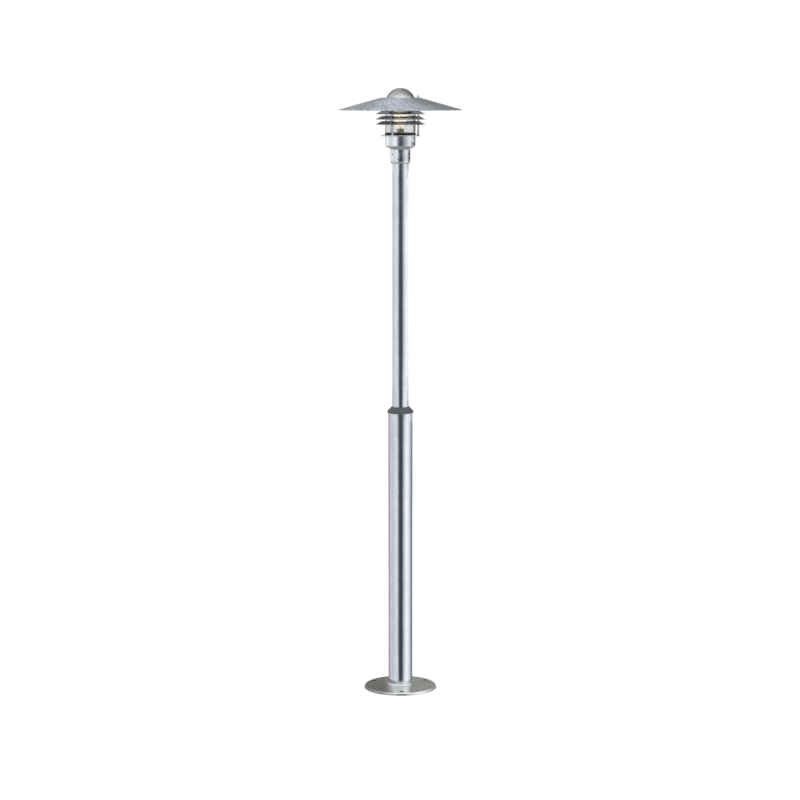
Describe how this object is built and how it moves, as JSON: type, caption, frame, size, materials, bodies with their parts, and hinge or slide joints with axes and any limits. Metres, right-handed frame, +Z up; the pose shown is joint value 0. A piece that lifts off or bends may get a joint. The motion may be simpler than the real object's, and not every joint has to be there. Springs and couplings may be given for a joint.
{
  "type": "street lamp post",
  "caption": "Stepped galvanised steel post on a round base plate, with a louvred lantern head: wide conical shade, glass globe, stacked rings and a screw-in bulb.",
  "frame": {"origin": "centre of the base plate's underside, on the post's axis", "axes": "+Z up along the post; -Y is the front of the picture"},
  "size_m": [0.4432, 0.4432, 2.2],
  "materials": {
    "galvanised": "hot-dip galvanised, glossy, with zinc spangle",
    "stainless": "bright stainless",
    "collar_plastic": "dark grey, matte",
    "seal_rubber": "black, matte",
    "cable_rubber": "black, satin",
    "clear_glass": "clear, polished",
    "bulb_glass": "clear with a warm tint, polished",
    "bulb_cap_metal": "dull brass",
    "black_glass": "black vitrite, gloss",
    "solder_tin": "tinned",
    "filament": "warm glowing filament wire",
    "porcelain": "glazed porcelain, off white",
    "brass": "bright",
    "terminal_plastic": "off white",
    "wire_brown": "brown insulation",
    "wire_blue": "blue insulation",
    "wire_green_yellow": "green and yellow insulation"
  },
  "bodies": {
    "post": {"base_flange": "galvanised", "lower_post_tube": "galvanised", "upper_post_tube": "galvanised", "centring_ring_lower": "galvanised", "centring_ring_upper": "galvanised", "transition_collar": "collar_plastic", "supply_cable": "cable_rubber"},
    "head": {"post_sleeve": "galvanised", "housing_cup": "galvanised", "cable_grommet": "seal_rubber", "glass_seat_plate": "galvanised", "glass_gasket": "seal_rubber", "louvre_ring_1": "galvanised", "louvre_ring_2": "galvanised", "louvre_ring_3": "galvanised", "lampholder_bracket": "galvanised", "lampholder_body": "porcelain", "lampholder_thread_shell": "brass", "terminal_block": "terminal_plastic", "live_wire": "wire_brown", "neutral_wire": "wire_blue", "earth_screw": "stainless", "earth_wire": "wire_green_yellow", "tie_rod_a": "stainless", "foot_nut_a": "stainless", "spacer_a1": "stainless", "spacer_a2": "stainless", "spacer_a3": "stainless", "spacer_a4": "stainless", "tie_rod_b": "stainless", "foot_nut_b": "stainless", "spacer_b1": "stainless", "spacer_b2": "stainless", "spacer_b3": "stainless", "spacer_b4": "stainless", "tie_rod_c": "stainless", "foot_nut_c": "stainless", "spacer_c1": "stainless", "spacer_c2": "stainless", "spacer_c3": "stainless", "spacer_c4": "stainless"},
    "shade": {"main_shade": "galvanised", "upper_glass_seal": "seal_rubber", "cap_nut_a": "stainless", "cap_nut_b": "stainless", "cap_nut_c": "stainless"},
    "glass": {"glass_globe": "clear_glass"},
    "bulb_carrier": {"bulb_tip_contact": "solder_tin"},
    "bulb": {"bulb_insulator": "black_glass", "bulb_screw_cap": "bulb_cap_metal", "bulb_glass": "bulb_glass", "bulb_stem": "bulb_glass", "bulb_filament": "filament"},
    "centre_contact": {"centre_contact": "brass"},
    "grub_screw_a": {"grub_screw_a": "stainless"},
    "grub_screw_b": {"grub_screw_b": "stainless"},
    "grub_screw_c": {"grub_screw_c": "stainless"}
  },
  "joints": [
    {"name": "head_swivel", "type": "hinge", "parent": "post", "child": "head", "pos_m": [0, 0, 1.9634], "axis": [0, 0, 1], "range_deg": [-180, 180]},
    {"name": "shade_lift", "type": "slide", "parent": "head", "child": "shade", "axis": [0, 0, 1], "range_m": [0, 0.2]},
    {"name": "glass_lift", "type": "slide", "parent": "head", "child": "glass", "axis": [0, 0, 1], "range_m": [0, 0.16]},
    {"name": "bulb_rise", "type": "slide", "parent": "head", "child": "bulb_carrier", "axis": [0, 0, 1], "range_m": [0, 0.01099]},
    {"name": "bulb_turn", "type": "hinge", "parent": "bulb_carrier", "child": "bulb", "pos_m": [0, 0, 2.0346], "axis": [0, 0, 1], "range_deg": [0, 1080]},
    {"name": "contact_press", "type": "slide", "parent": "head", "child": "centre_contact", "axis": [0, 0, 1], "range_m": [-0.0015, 0], "stiffness_N_per_m": 1500},
    {"name": "grub_a_back_out", "type": "slide", "parent": "head", "child": "grub_screw_a", "axis": [-0.8192, -0.5736, 0], "range_m": [0, 0.004]},
    {"name": "grub_b_back_out", "type": "slide", "parent": "head", "child": "grub_screw_b", "axis": [0.9063, -0.4226, 0], "range_m": [0, 0.004]},
    {"name": "grub_c_back_out", "type": "slide", "parent": "head", "child": "grub_screw_c", "axis": [-0.0872, 0.9962, 0], "range_m": [0, 0.004]}
  ],
  "couplings": [
    {"joint": "glass_lift", "follows": "shade_lift", "ratio": 0.8},
    {"joint": "bulb_rise", "follows": "bulb_turn", "m_per_rad": 0.00057757}
  ]
}
